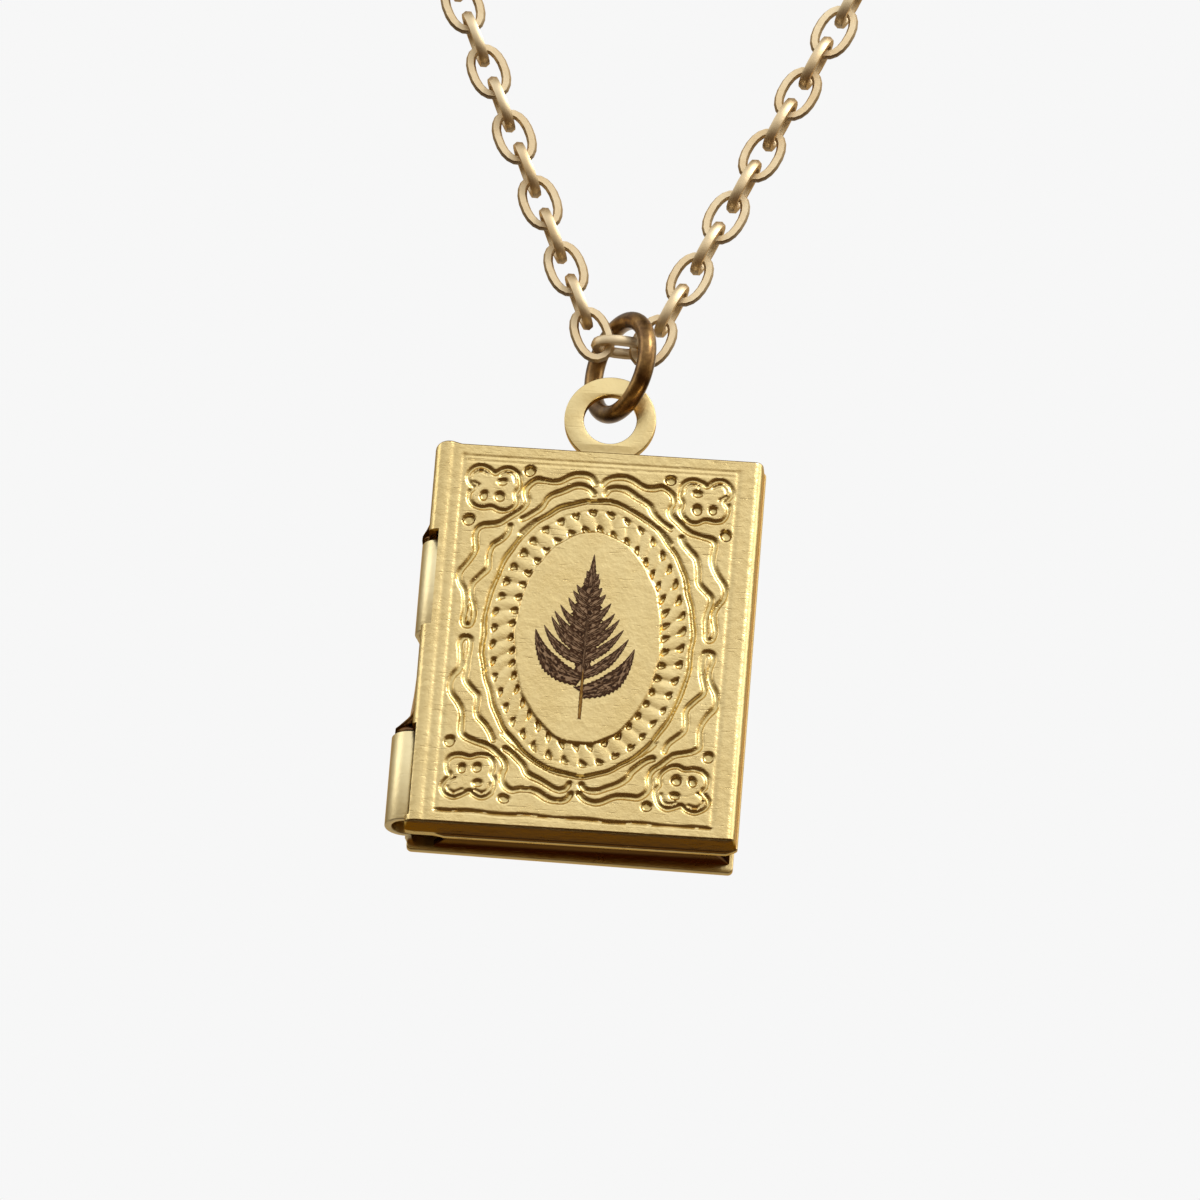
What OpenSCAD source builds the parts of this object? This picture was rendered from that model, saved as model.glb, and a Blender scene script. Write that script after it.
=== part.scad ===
// Book locket on a cable chain: two stamped covers on a hinge pin, a jump ring, the chain and its clasp.
// Millimetres, +Z up, the front cover faces -Y and the spine is on the left, at -X.
// The origin is the middle of the clasp, at the nape, where the chain hangs on the neck.

/* [Covers] */
// Width of the covers, from the spine to the fore edge
cover_w = 16; // [14:0.5:20]
// Height of the covers
cover_h = 20; // [18:0.5:26]
// Thickness of the closed locket
locket_t = 4.4; // [4.2:0.1:5.5]
// Thickness of the sheet brass
sheet_t = 0.35; // [0.3:0.05:0.4]
// Radius of the front cover's rounded edges
edge_r = 0.55; // [0.45:0.05:0.7]
// How far the front cover's flanges reach back from the face
front_depth = 1.95; // [1.7:0.05:2]
// How far the flared lip of the front flanges stands out
lip_out = 0.12; // [0.08:0.02:0.16]
// Width of the flared lip
lip_w = 0.3; // [0.2:0.05:0.4]
// Gap between the edges of the two covers
cover_gap = 0.1; // [0.08:0.02:0.2]
// Thickness of the back plate with its turned rim
back_rim_t = 0.45; // [0.35:0.05:0.6]
// How far the back cover's flanges stand in from its rim
flange_inset = 0.3; // [0.2:0.05:0.5]
// How far the flange ends are cut back at the open corners
mitre_cut = 1.2; // [0.6:0.1:1.6]

/* [Hinge] */
// Diameter of the hinge pin
pin_d = 0.5; // [0.4:0.05:0.6]
// Radial clearance of the pin in its knuckles
pin_clear = 0.05; // [0.03:0.01:0.08]
// Wall of a knuckle that is curled tight round the pin
knuckle_wall = 0.3; // [0.25:0.05:0.4]
// Outer diameter of the back cover's upper knuckle
upper_roll_d = 1.9; // [1.7:0.1:2.1]
// Outer diameter of the back cover's lower, looser knuckle
lower_roll_d = 2; // [1.8:0.1:2.2]
// How far the loose knuckle's curl stands out past the pin
lower_roll_out = 0.6; // [0.4:0.05:0.7]
// Gap between neighbouring knuckles
knuckle_gap = 0.12; // [0.08:0.02:0.2]
// How far the front cover is cut in beside the back cover's knuckles
spine_notch = 0.5; // [0.4:0.05:0.6]

/* [Relief] */
// Width of the ornamented frame on the face
frame_w = 13.8; // [11:0.1:14.4]
// Height of the ornamented frame on the face
frame_h = 18.7; // [15:0.1:19]
// How far the frame's middle lies from the face's middle, away from the spine
frame_shift = 0.15; // [0:0.05:0.3]
// Width of the smooth oval
oval_w = 7.15; // [6:0.05:7.6]
// Height of the smooth oval
oval_h = 11.2; // [9:0.1:11.6]
// Height of the smooth oval above the face
oval_rise = 0.15; // [0.1:0.01:0.2]
// Width of the braided band round the oval, at its sides
band_w = 1.5; // [1.2:0.05:1.7]
// Depth of the pressed lines and pits
groove_depth = 0.12; // [0.08:0.01:0.16]
// Width of a pressed scroll line
line_w = 0.26; // [0.16:0.02:0.32]
// Width of the frame's pressed line
frame_line_w = 0.18; // [0.12:0.02:0.24]
// Number of pits in each row of the band
band_pits = 36; // [24:4:44]
// Diameter of a pit in the band
band_pit_d = 0.36; // [0.24:0.02:0.4]
// Diameter of the round pits beside the corner rosettes
corner_pit_d = 0.55; // [0.4:0.05:0.65]

/* [Tab ring] */
// Outer diameter of the flat loop at the top of the back cover
tab_d = 4.5; // [4.2:0.1:5]
// Hole of the flat loop
tab_hole_d = 2.6; // [2.5:0.05:3]
// Height of the loop's middle above the covers
tab_rise = 3.4; // [2.9:0.1:4]
// How far the loop lies right of the covers' middle
tab_x = 0.2; // [-0.5:0.1:0.8]
// Width of the loop's neck
tab_neck_w = 2.6; // [2:0.1:3.2]

/* [Jump ring] */
// Outer diameter of the jump ring
ring_d = 5.7; // [5.5:0.1:6.5]
// Wire of the jump ring
ring_wire = 0.9; // [0.7:0.05:0.95]
// Turn of the jump ring from the face's plane, degrees
ring_turn = 56; // [55:1:60]
// Where the ring bears in the loop's hole, degrees to the right of its top
ring_bears_at = 30; // [0:5:40]
// Clearance left where the ring bears in the loop's hole
ring_gap = 0.05; // [0.03:0.01:0.1]
// Height of the ring's top wire above the lowest link's middle
ring_hang = 1.3; // [1.25:0.05:1.45]

/* [Chain] */
// Length of a link
link_l = 3.1; // [3.05:0.05:3.25]
// Width of a link
link_w = 2.05; // [1.95:0.05:2.2]
// Width of a link's wire, seen from its flat side
link_wire = 0.48; // [0.44:0.01:0.5]
// Thickness of a link
link_t = 0.45; // [0.4:0.01:0.48]
// Gap between a link and the next
link_gap = 0.15; // [0.14:0.01:0.18]
// Number of links on each side of the lowest link
links_per_side = 104; // [90:2:120]
// Half of the angle between the strands at the locket, degrees
strand_angle = 24; // [23:0.5:30]
// Turn of the lowest link from the face's plane, degrees
low_link_turn = 8; // [4:1:9]
// Length of the strand that hangs plumb before it turns back over the collar
plumb_l = 35; // [30:1:45]
// Radius of the turn over the collar
collar_r = 40; // [30:1:60]
// Lean of the chain round the neck, degrees from plumb
neck_lean = 60; // [45:1:70]

/* [Clasp] */
// Length of the clasp plate
clasp_l = 9; // [8:0.5:12]
// Width of the clasp plate
clasp_w = 2.8; // [2.6:0.1:3.4]
// Thickness of the clasp plate
clasp_t = 0.6; // [0.5:0.05:0.65]
// Eye at each end of the clasp plate
clasp_eye_d = 1.5; // [1.45:0.05:1.6]
// Wall outside each eye
clasp_wall = 0.6; // [0.5:0.05:0.7]

/* [Hidden] */
$fn = 48;
e = 0.01;

// Hinge: the pin stands half way between the faces, and the front knuckles end flush with the spine
bore_r = pin_d / 2 + pin_clear;
barrel_r = bore_r + knuckle_wall;
pin_x = -cover_w / 2 + barrel_r;
pin_y = locket_t / 2;
// Ends of the four knuckles as shares of the covers' height, from the top down
knuckle_ends = [0, 0.235, 0.48, 0.745, 1];

// Chain: the corners of a link's end bear in the round end of the next link's hole,
// and the lowest link's ends lie in the middle of its neighbours' round ends
function bow(r, half) = sqrt(r * r - half * half);
link_bar = (link_l - link_wire) / 2;
hole_r = link_w / 2 - link_wire;
pitch = link_l - 2 * link_wire - link_gap - 2 * (hole_r - bow(hole_r, link_t / 2));
first_step = (link_l - link_w) / 2;
eye_x = clasp_l / 2 - clasp_wall - clasp_eye_d / 2;
eye_reach = bow(clasp_eye_d / 2, link_t / 2 + link_gap);
clasp_step = eye_x + eye_reach + bow(hole_r - link_gap, clasp_t / 2) + first_step;
half_loop = first_step + (links_per_side - 1) * pitch + clasp_step;
// The loop laid flat is two straight strands and an arc round the neck, which they touch
strand_x = link_bar * cos(low_link_turn);
strand_y = link_bar * sin(low_link_turn);
rad = PI / 180;
neck_r = (half_loop + strand_x / sin(strand_angle)) / (1 / tan(strand_angle) + (90 + strand_angle) * rad);
strand_l = neck_r / tan(strand_angle) - strand_x / sin(strand_angle);
neck_z = (neck_r - strand_x * cos(strand_angle)) / sin(strand_angle);
loop_h = neck_z + neck_r;

// Lean and place of the chain's surface at a height w of the flat loop
turn_l = collar_r * neck_lean * rad;
function lean(w) = min(max((w - plumb_l) / collar_r / rad, 0), neck_lean);
function past_turn(w) = max(w - plumb_l - turn_l, 0);
function drape_y(w) = collar_r * (1 - cos(lean(w))) + past_turn(w) * sin(lean(w));
function drape_z(w) = min(w, plumb_l) + collar_r * sin(lean(w)) + past_turn(w) * cos(lean(w));
low_link = [0, -drape_y(loop_h), -drape_z(loop_h)];

// A strand's place and heading at a length s from the lowest link's end, on the flat loop
function arc_at(s) = (s - strand_l) / neck_r / rad - strand_angle;
function strand_at(s) = s < strand_l
    ? [strand_x + s * sin(strand_angle), s * cos(strand_angle), 90 - strand_angle]
    : [neck_r * cos(arc_at(s)), neck_z + neck_r * sin(arc_at(s)), 90 + arc_at(s)];

// Jump ring and locket hang below the lowest link
ring_r = (ring_d - ring_wire) / 2;
tab_y = locket_t - back_rim_t / 2;
slant = 90 - ring_turn;
bear_r = tab_hole_d / 2 - ring_gap - (ring_wire / 2 + back_rim_t / 2 * sin(slant)) / cos(slant);
ring_at = low_link + [0, 0, ring_hang - ring_r];
tab_at = ring_at - [0, 0, ring_r] - bear_r * [sin(ring_bears_at), 0, cos(ring_bears_at)];
face_at = tab_at - [tab_x, tab_y, cover_h / 2 + tab_rise];

// Relief: paths across the upper right quarter of the frame, as shares of its half width and half height
top_outer_wave = [[0.42, 0.91], [0.26, 0.9], [0.17, 0.94], [0.08, 0.94], [0.02, 0.915]];
top_inner_wave = [[0.53, 0.81], [0.37, 0.85], [0.26, 0.83], [0.16, 0.88], [0.08, 0.88], [0.02, 0.85]];
under_rosette = [[0.84, 0.64], [0.74, 0.67], [0.64, 0.67]];
side_outer_wave = [[0.86, 0.61], [0.86, 0.53], [0.82, 0.46], [0.9, 0.36], [0.91, 0.28], [0.87, 0.18], [0.88, 0.1]];
side_inner_wave = [[0.73, 0.6], [0.76, 0.49], [0.85, 0.35], [0.86, 0.29], [0.83, 0.2], [0.81, 0.1]];
corner_strokes = [[[0.36, 0.7], [0.48, 0.64]], [[0.59, 0.56], [0.67, 0.5]], [[0.73, 0.37], [0.8, 0.31]]];
quarter_paths = concat(
    [top_outer_wave, top_inner_wave, under_rosette, side_outer_wave, side_inner_wave],
    corner_strokes);
// Round pits and the middle of the corner rosette, as the same shares
corner_pits = [[0.48, 0.93], [0.88, 0.63]];
rosette_mid = [0.76, 0.81];
// Lobes and seeds of a rosette, as shares of its half width
rosette_lobes = [[-0.5, 0.45], [0.5, 0.45], [-0.5, -0.45], [0.5, -0.45]];
rosette_seeds = [[-0.25, 0.3], [0.25, 0.3], [0, -0.25]];
rosette_r = 1.2;
path_steps = 3;

function blend(p, i, t) =
    let (a = p[max(i - 1, 0)], b = p[i], c = p[i + 1], d = p[min(i + 2, len(p) - 1)])
    0.5 * (2 * b + (c - a) * t + (2 * a - 5 * b + 4 * c - d) * t * t + (3 * b - a - 3 * c + d) * t * t * t);
function smooth(p) = [
    for (i = [0 : len(p) - 2]) for (j = [0 : path_steps - 1]) blend(p, i, j / path_steps),
    p[len(p) - 1]];
function side(p, i) =
    let (d = p[min(i + 1, len(p) - 1)] - p[max(i - 1, 0)])
    [-d.y, d.x] / norm(d);
function on_frame(q, sx, sz) = [frame_shift + q.x * sx * frame_w / 2, q.y * sz * frame_h / 2];

module stroke(path, w) {
    p = smooth(path);
    n = len(p);
    polygon(concat(
        [for (i = [0 : n - 1]) p[i] + side(p, i) * w / 2],
        [for (i = [n - 1 : -1 : 0]) p[i] - side(p, i) * w / 2]));
}

module ellipse(w, h) {
    scale([w / 2, h / 2]) circle(1, $fn = 72);
}

module ellipse_line(w, h, line) {
    difference() {
        ellipse(w, h);
        ellipse(w - 2 * line, h - 2 * line);
    }
}

module frame_line(inset, line) {
    translate([frame_shift, 0]) difference() {
        square([frame_w - 2 * inset, frame_h - 2 * inset], center = true);
        square([frame_w - 2 * inset - 2 * line, frame_h - 2 * inset - 2 * line], center = true);
    }
}

module rosette(line) {
    difference() {
        for (p = rosette_lobes) translate(p * rosette_r) circle(rosette_r * 0.52);
        for (p = rosette_lobes) translate(p * rosette_r) circle(rosette_r * 0.52 - line);
        circle(rosette_r * 0.5);
    }
    for (p = rosette_seeds) translate(p * rosette_r) circle(line * 0.8);
}

// Everything that is pressed into the face, drawn flat
module pressed_lines() {
    frame_line(0, frame_line_w);
    for (sx = [-1, 1], sz = [-1, 1]) {
        for (p = quarter_paths) stroke([for (q = p) on_frame(q, sx, sz)], line_w);
        for (q = corner_pits) translate(on_frame(q, sx, sz)) circle(d = corner_pit_d);
        translate(on_frame(rosette_mid, sx, sz)) rosette(line_w);
    }
    translate([frame_shift, 0]) {
        ellipse_line(oval_w + 2 * band_w + 2 * line_w, oval_h + 2.5 * band_w + 2 * line_w, line_w / 2);
        for (row = [0.3, 0.75], i = [0 : band_pits - 1])
            translate([(oval_w / 2 + row * band_w) * cos((i + row) * 360 / band_pits),
                       (oval_h / 2 + row * 1.25 * band_w) * sin((i + row) * 360 / band_pits)])
                circle(d = band_pit_d, $fn = 16);
    }
}

// A drawing laid on the face, standing from a depth below it to a height above it
module on_face(depth, rise) {
    translate([0, depth, 0]) rotate([90, 0, 0]) linear_extrude(depth + rise) children();
}

// Section of a box whose two near corners are rounded
module round_front(w, d, r) {
    translate([-w / 2, r]) square([w, d - r]);
    translate([-w / 2 + r, 0]) square([w - 2 * r, d]);
    for (s = [-1, 1]) translate([s * (w / 2 - r), r]) circle(r);
}

// Box from y = 0 to y = d whose front edges are rounded
module cushion(w, h, d, r) {
    intersection() {
        linear_extrude(h, center = true) round_front(w, d, r);
        rotate([0, 90, 0]) linear_extrude(w, center = true) round_front(h, d, r);
    }
}

// Box between two corners
module span(lo, hi) {
    translate(lo) cube(hi - lo);
}

function knuckle_top(i) = cover_h * (0.5 - knuckle_ends[i]) - (i == 0 ? 0 : knuckle_gap / 2);
function knuckle_low(i) = i == 3
    ? -cover_h / 2 + sheet_t + knuckle_gap
    : cover_h * (0.5 - knuckle_ends[i + 1]) + knuckle_gap / 2;

// Upright cylinder over the height of one knuckle
module knuckle_rod(i, r, x = pin_x) {
    translate([x, pin_y, knuckle_low(i)]) cylinder(r = r, h = knuckle_top(i) - knuckle_low(i));
}

module front_shell() {
    difference() {
        cushion(cover_w, cover_h, front_depth, edge_r);
        translate([0, sheet_t, 0])
            cushion(cover_w - 2 * sheet_t, cover_h - 2 * sheet_t, front_depth, edge_r - sheet_t);
    }
}

// Flared lip along the top, fore and bottom flanges
module front_lip() {
    lip_x = -cover_w / 2 + 3 * barrel_r;
    difference() {
        span([lip_x, front_depth - lip_w, -cover_h / 2 - lip_out],
             [cover_w / 2 + lip_out, front_depth, cover_h / 2 + lip_out]);
        span([lip_x - e, front_depth - lip_w - e, -cover_h / 2 + sheet_t / 2],
             [cover_w / 2 - sheet_t / 2, front_depth + e, cover_h / 2 - sheet_t / 2]);
    }
}

// Spine wall and curl of one of the front cover's knuckles
module front_knuckle(i) {
    knuckle_rod(i, barrel_r);
    span([-cover_w / 2, edge_r, knuckle_low(i)], [-cover_w / 2 + sheet_t, pin_y, knuckle_top(i)]);
}

module front_cover() {
    color("#dcc487") translate(face_at) difference() {
        union() {
            front_shell();
            front_lip();
            for (i = [0, 2]) front_knuckle(i);
            translate([frame_shift, 0, 0]) on_face(sheet_t / 2, oval_rise) ellipse(oval_w, oval_h);
        }
        for (i = [0, 2]) translate([0, 0, -e]) knuckle_rod(i, bore_r);
        for (i = [1, 3])
            span([-cover_w / 2 - 1, -1, knuckle_low(i) - knuckle_gap],
                 [-cover_w / 2 + spine_notch, front_depth + 1, knuckle_top(i) + knuckle_gap]);
        translate([pin_x, pin_y, -cover_h / 2 - e]) cylinder(r = bore_r, h = cover_h + 2 * e);
        on_face(groove_depth, 1) pressed_lines();
    }
}

// Flange of the back cover, drawn from its rim forward, with cut-back ends
module back_flange(from_x, to_x) {
    depth = locket_t - back_rim_t - front_depth - cover_gap;
    linear_extrude(sheet_t) translate([0, front_depth + cover_gap]) polygon([
        [from_x + mitre_cut, 0], [to_x - mitre_cut, 0], [to_x, depth + e], [from_x, depth + e]]);
}

// Wall from the back plate to one of the back cover's knuckles
module back_knuckle_wall(i) {
    span([-cover_w / 2, pin_y, knuckle_low(i)], [-cover_w / 2 + sheet_t, locket_t - back_rim_t / 2, knuckle_top(i)]);
}

module back_cover() {
    in_w = cover_w / 2 - flange_inset;
    in_h = cover_h / 2 - flange_inset;
    flange_x = pin_x + barrel_r + cover_gap;
    color("#d8c080") translate(face_at) difference() {
        union() {
            translate([0, locket_t, 0]) mirror([0, 1, 0]) cushion(cover_w, cover_h, back_rim_t, sheet_t);
            translate([0, 0, in_h - sheet_t]) back_flange(flange_x, in_w);
            translate([0, 0, -in_h]) back_flange(flange_x, in_w);
            translate([in_w - sheet_t, 0, 0]) rotate([0, 90, 0]) back_flange(-in_h, in_h);
            translate([tab_x, locket_t, cover_h / 2 + tab_rise]) rotate([90, 0, 0])
                cylinder(d = tab_d, h = back_rim_t);
            span([tab_x - tab_neck_w / 2, locket_t - back_rim_t, cover_h / 2 - 1],
                 [tab_x + tab_neck_w / 2, locket_t, cover_h / 2 + tab_rise]);
            knuckle_rod(1, upper_roll_d / 2);
            knuckle_rod(3, barrel_r);
            difference() {
                knuckle_rod(3, lower_roll_d / 2, pin_x - lower_roll_out);
                translate([pin_x - lower_roll_out, pin_y, -cover_h / 2])
                    cylinder(d = lower_roll_d - 2 * sheet_t, h = cover_h);
            }
            for (i = [1, 3]) back_knuckle_wall(i);
        }
        translate([pin_x, pin_y, -cover_h / 2 - e]) cylinder(r = bore_r, h = cover_h + 2 * e);
        translate([tab_x, locket_t + 1, cover_h / 2 + tab_rise]) rotate([90, 0, 0])
            cylinder(d = tab_hole_d, h = back_rim_t + 2);
    }
}

module hinge_pin() {
    color("#b99a5e") translate(face_at + [pin_x, pin_y, knuckle_low(3)])
        cylinder(d = pin_d, h = cover_h / 2 - sheet_t - knuckle_low(3));
}

module jump_ring() {
    color("#8a6238") translate(ring_at) rotate([0, 0, -ring_turn]) rotate([90, 0, 0])
        rotate_extrude() translate([ring_r, 0]) circle(d = ring_wire);
}

// Long hole or plate with round ends, drawn along X
module stadium(l, w) {
    square([l - w, w], center = true);
    for (s = [-1, 1]) translate([s * (l - w) / 2, 0]) circle(d = w);
}

module link() {
    linear_extrude(link_t, center = true) difference() {
        stadium(link_l, link_w);
        stadium(link_l - 2 * link_wire, link_w - 2 * link_wire);
    }
}

// Sets a piece at a place of the flat loop: across, up, heading, and its roll about the strand
module on_loop(u, w, heading, roll, side_y) {
    translate(low_link + [u, drape_y(w) + side_y * (1 - w / loop_h), drape_z(w)])
        rotate([-lean(w), 0, 0]) rotate([roll, -heading, 0]) children();
}

module chain() {
    color("#c9a873") {
        translate(low_link) rotate([0, 0, low_link_turn]) link();
        for (s = [-1, 1], i = [1 : links_per_side]) {
            at = strand_at(first_step + (i - 1) * pitch);
            on_loop(s * at.x, at.y, s * at.z, i % 2 == 1 ? 90 : 0, s * strand_y) link();
        }
    }
}

module clasp() {
    color("#c9a873") on_loop(0, loop_h, 0, 90, 0) linear_extrude(clasp_t, center = true) difference() {
        stadium(clasp_l, clasp_w);
        for (s = [-1, 1]) translate([s * eye_x, 0]) circle(d = clasp_eye_d);
    }
}

front_cover();
back_cover();
hinge_pin();
jump_ring();
chain();
clasp();
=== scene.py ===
import math
import random

import bmesh
import bpy
import numpy as np
from mathutils import Matrix, Vector


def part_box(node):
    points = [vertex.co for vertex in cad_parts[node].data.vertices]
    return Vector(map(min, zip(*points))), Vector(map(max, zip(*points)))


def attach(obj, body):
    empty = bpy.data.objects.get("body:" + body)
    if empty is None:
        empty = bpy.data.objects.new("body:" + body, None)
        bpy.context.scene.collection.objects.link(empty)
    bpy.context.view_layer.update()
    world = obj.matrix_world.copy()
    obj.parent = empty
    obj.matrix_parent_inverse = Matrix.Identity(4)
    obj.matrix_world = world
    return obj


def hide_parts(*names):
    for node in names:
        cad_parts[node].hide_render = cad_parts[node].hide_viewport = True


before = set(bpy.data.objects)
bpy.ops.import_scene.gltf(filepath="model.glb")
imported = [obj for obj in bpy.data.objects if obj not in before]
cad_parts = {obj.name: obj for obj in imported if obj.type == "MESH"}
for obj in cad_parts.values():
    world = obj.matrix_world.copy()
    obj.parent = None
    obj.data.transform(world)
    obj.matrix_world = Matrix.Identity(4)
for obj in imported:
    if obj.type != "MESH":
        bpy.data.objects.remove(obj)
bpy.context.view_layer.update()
bpy.ops.object.select_all(action="DESELECT")

# Camera and studio
# A plain pale studio, in which the camera looks up at the locket from below through a long lens.
# A soft light stands to the upper right and little light comes from below, as the photo's shadows show.
MM = 0.001
WIDTH, OVAL_RISE = 16.0, 0.15
cover_low, cover_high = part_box("front_cover")
FACE = Vector((cover_low.x + WIDTH / 2 * MM, cover_low.y + OVAL_RISE * MM, (cover_low.z + cover_high.z) / 2))
AZIMUTH, ELEVATION, ROLL = math.radians(2.5), math.radians(-22.8), math.radians(4.63)
PHOTO_PX, PX_PER_MM, FACE_AT_PX = 1200, 20.63, (584.65, 639.2)
LENS, SENSOR = 500.0, 36.0
DISTANCE = PHOTO_PX * LENS / SENSOR / PX_PER_MM * MM
back = Vector((math.sin(AZIMUTH) * math.cos(ELEVATION), -math.cos(AZIMUTH) * math.cos(ELEVATION),
               math.sin(ELEVATION)))
right = Vector((math.cos(AZIMUTH), math.sin(AZIMUTH), 0))
up = back.cross(right)
right, up = (right * math.cos(ROLL) + up * math.sin(ROLL), up * math.cos(ROLL) - right * math.sin(ROLL))
off_middle_px = right * (PHOTO_PX / 2 - FACE_AT_PX[0]) + up * (FACE_AT_PX[1] - PHOTO_PX / 2)
aim = FACE + off_middle_px / PX_PER_MM * MM
camera = bpy.data.objects.new("camera", bpy.data.cameras.new("camera"))
bpy.context.collection.objects.link(camera)
camera.matrix_world = (Matrix.Translation(aim + back * DISTANCE)
                       @ Matrix((right, up, back)).transposed().to_4x4())
camera.data.lens, camera.data.sensor_width = LENS, SENSOR
camera.data.clip_start = 0.01
bpy.context.scene.camera = camera
bpy.context.scene.view_settings.view_transform = "Standard"


def colour(code):
    """An sRGB hex value as the linear colour that nodes and lights take."""
    values = [int(code[i:i + 2], 16) / 255 for i in (1, 3, 5)]
    return tuple(v / 12.92 if v <= 0.04045 else ((v + 0.055) / 1.055) ** 2.4 for v in values) + (1,)


def add(tree, kind, settings=None, **links):
    """Adds a node. Settings hold values, options and sockets to link; links name inputs, _ for a space."""
    made = tree.nodes.new(kind)
    for key, value in (settings or {}).items():
        if isinstance(value, bpy.types.NodeSocket):
            tree.links.new(value, made.inputs[key])
        elif key in made.inputs:
            made.inputs[key].default_value = value
        else:
            setattr(made, key, value)
    for key, source in links.items():
        tree.links.new(source, made.inputs[key.replace("_", " ")])
    return made


def ramp(tree, source, *stops):
    """Colours along a value, as (place, hex) stops."""
    made = add(tree, "ShaderNodeValToRGB", Fac=source)
    while len(made.color_ramp.elements) < len(stops):
        made.color_ramp.elements.new(0.5)
    for element, (place, code) in zip(made.color_ramp.elements, stops):
        element.position, element.color = place, colour(code)
    return made.outputs["Color"]


def material(name, **values):
    """A new material and its shader; values name the shader's sockets, with _ for a space."""
    made = bpy.data.materials.new(name)
    made.use_nodes = True
    shader = made.node_tree.nodes["Principled BSDF"]
    for key, value in values.items():
        shader.inputs[key.replace("_", " ")].default_value = value
    return made, shader


# The light round the locket by height, dimmer behind it and to the left
world = bpy.data.worlds.new("studio")
bpy.context.scene.world = world
world.use_nodes = True
sky = world.node_tree
sky.nodes.clear()
direction = add(sky, "ShaderNodeSeparateXYZ", Vector=add(sky, "ShaderNodeTexCoord").outputs["Generated"])
level = add(sky, "ShaderNodeMapRange", {"From Min": -1.0, "From Max": 1.0}, Value=direction.outputs["Z"])
by_height = ramp(sky, level.outputs[0], (0.0, "#4a341c"), (0.38, "#50391f"), (0.46, "#80704d"),
                 (0.55, "#b5a892"), (0.69, "#d6d2cb"), (0.80, "#ffffff"), (0.93, "#cfc8ba"), (1.0, "#5a4c34"))
behind = add(sky, "ShaderNodeMapRange", {"From Min": 0.0, "From Max": 0.6, "To Min": 1.3, "To Max": 0.5},
             Value=direction.outputs["Y"])
aside = add(sky, "ShaderNodeMapRange", {"From Min": -0.9, "From Max": 0.8, "To Min": 0.75, "To Max": 1.25},
            Value=direction.outputs["X"])
shade = add(sky, "ShaderNodeMath", {"operation": "MULTIPLY", 0: behind.outputs[0], 1: aside.outputs[0]})
shaded = add(sky, "ShaderNodeVectorMath", {"operation": "SCALE"}, Vector=by_height, Scale=shade.outputs[0])
# A pale patch straight behind lights the edges that face away from the front
patch = add(sky, "ShaderNodeMapRange", {"From Min": 0.7, "From Max": 0.95, "To Max": 0.65},
            Value=direction.outputs["Y"])
lit = add(sky, "ShaderNodeVectorMath", {"operation": "ADD", 0: shaded.outputs[0], 1: patch.outputs[0]})
# The camera itself sees one even pale tone
shown = add(sky, "ShaderNodeMixRGB", {"Color2": colour("#f7f7f7")}, Color1=lit.outputs[0],
            Fac=add(sky, "ShaderNodeLightPath").outputs["Is Camera Ray"])
add(sky, "ShaderNodeOutputWorld", Surface=add(sky, "ShaderNodeBackground", Color=shown.outputs[0]).outputs[0])

FLOOR_SIZE, FLOOR_Z = 6, -0.7
bpy.ops.mesh.primitive_plane_add(size=FLOOR_SIZE, location=(0, 0, FLOOR_Z))
floor = bpy.context.object
floor.name = "floor"
floor.visible_glossy = floor.visible_diffuse = False
paint, shader = material("matt white board", Base_Color=colour("#f2f2f0"), Roughness=0.8)
floor.data.materials.append(paint)

# Soft lights: (name, place from the face in metres, size, watts)
LAMP_TINT = colour("#fffaf0")[:3]
for name, place, size, power in (
        ("soft light, upper right", (0.30, -0.34, 0.40), 0.24, 1.5),
        ("soft light, right", (0.58, -0.02, 0.16), 0.30, 0.3),
        ("soft light, left", (-0.55, -0.12, 0.26), 0.30, 0.3)):
    lamp = bpy.data.objects.new(name, bpy.data.lights.new(name, "AREA"))
    lamp.data.size, lamp.data.energy, lamp.data.color = size, power, LAMP_TINT
    lamp.location = FACE + Vector(place)
    lamp.rotation_euler = (-Vector(place)).to_track_quat("-Z", "Y").to_euler()
    bpy.context.collection.objects.link(lamp)

# Front cover
# Stamped from raw brass sheet: the face with its frame, corner scrolls, braided band and smooth oval is
# pressed in one blow, and its edges are turned back into flanges that end in a flared lip.
HEIGHT, SHEET = 20.0, 0.35
BEND_SPINE, BEND_FORE, BEND_TOP, BEND_FOOT, BEND_DEEP = 0.6, 0.42, 0.16, 0.07, 0.46
FRONT_DEPTH, LIP_W, LIP_OUT = 1.85, 0.38, 0.12
# Gaps in the spine for the back cover's knuckles: (lower end, upper end, how far back it is cut)
NOTCHES = ((0.34, 5.36, -7.5), (-9.65, -4.84, -7.8))
# Spacing of the sheet's points outside and inside, and where the ornament needs them close
GRID, GRID_INSIDE, ORNAMENT_X, ORNAMENT_Z = 0.0615, 0.5, (-7.3, 7.12), (-9.46, 9.5)
# The ornament's middle, the width of a pressed wall, and the groove beside the spine
MIDDLE_X, WALL, SPINE_GROOVE = 0.15, 0.13, -7.08
NEAR_ZERO = 1e-9
# Beside a pressed depth, the "relief" attribute says: painted shade in brown, bare metal, a scuffed edge
PAINTED_SHADE, BARE, SCUFFED = -1.0, 0.0, 1.0
SPINE_PROUD, RUBBED_TOP, RUBBED_FOOT, FOOT_Z = 0.12, 0.34, 0.12, -9.8
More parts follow.
